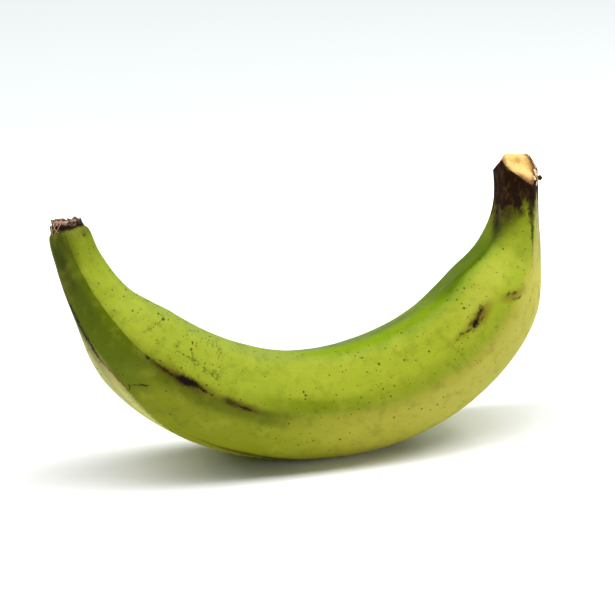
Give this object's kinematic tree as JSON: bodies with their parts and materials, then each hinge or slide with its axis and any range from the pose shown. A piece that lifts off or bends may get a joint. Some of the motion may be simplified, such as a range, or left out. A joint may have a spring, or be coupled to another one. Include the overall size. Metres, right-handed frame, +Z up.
{
  "type": "plantain",
  "caption": "Whole unripe green plantain, a long crescent fruit with soft ridges, a dried blossom scar at one end and a cut stem at the other, resting on its belly.",
  "frame": {"origin": "middle of the fruit's bounding box on the surface that it rests on", "axes": "+X from the blossom end to the cut stem, +Z up, -Y the side that the peel's lower front ridge faces; the curve's plane leans back towards +Y"},
  "size_m": [0.2088, 0.0554, 0.1128],
  "materials": {
    "peel": "satin green peel, yellower along its lower side, with dark specks and bruises, browned at both ends",
    "cut_stem": "matt, pale fibrous cut face with a browned rim",
    "dried_blossom": "matt, dry, grey-brown and ragged"
  },
  "bodies": {
    "root": {"plantain": "peel"}
  },
  "joints": []
}
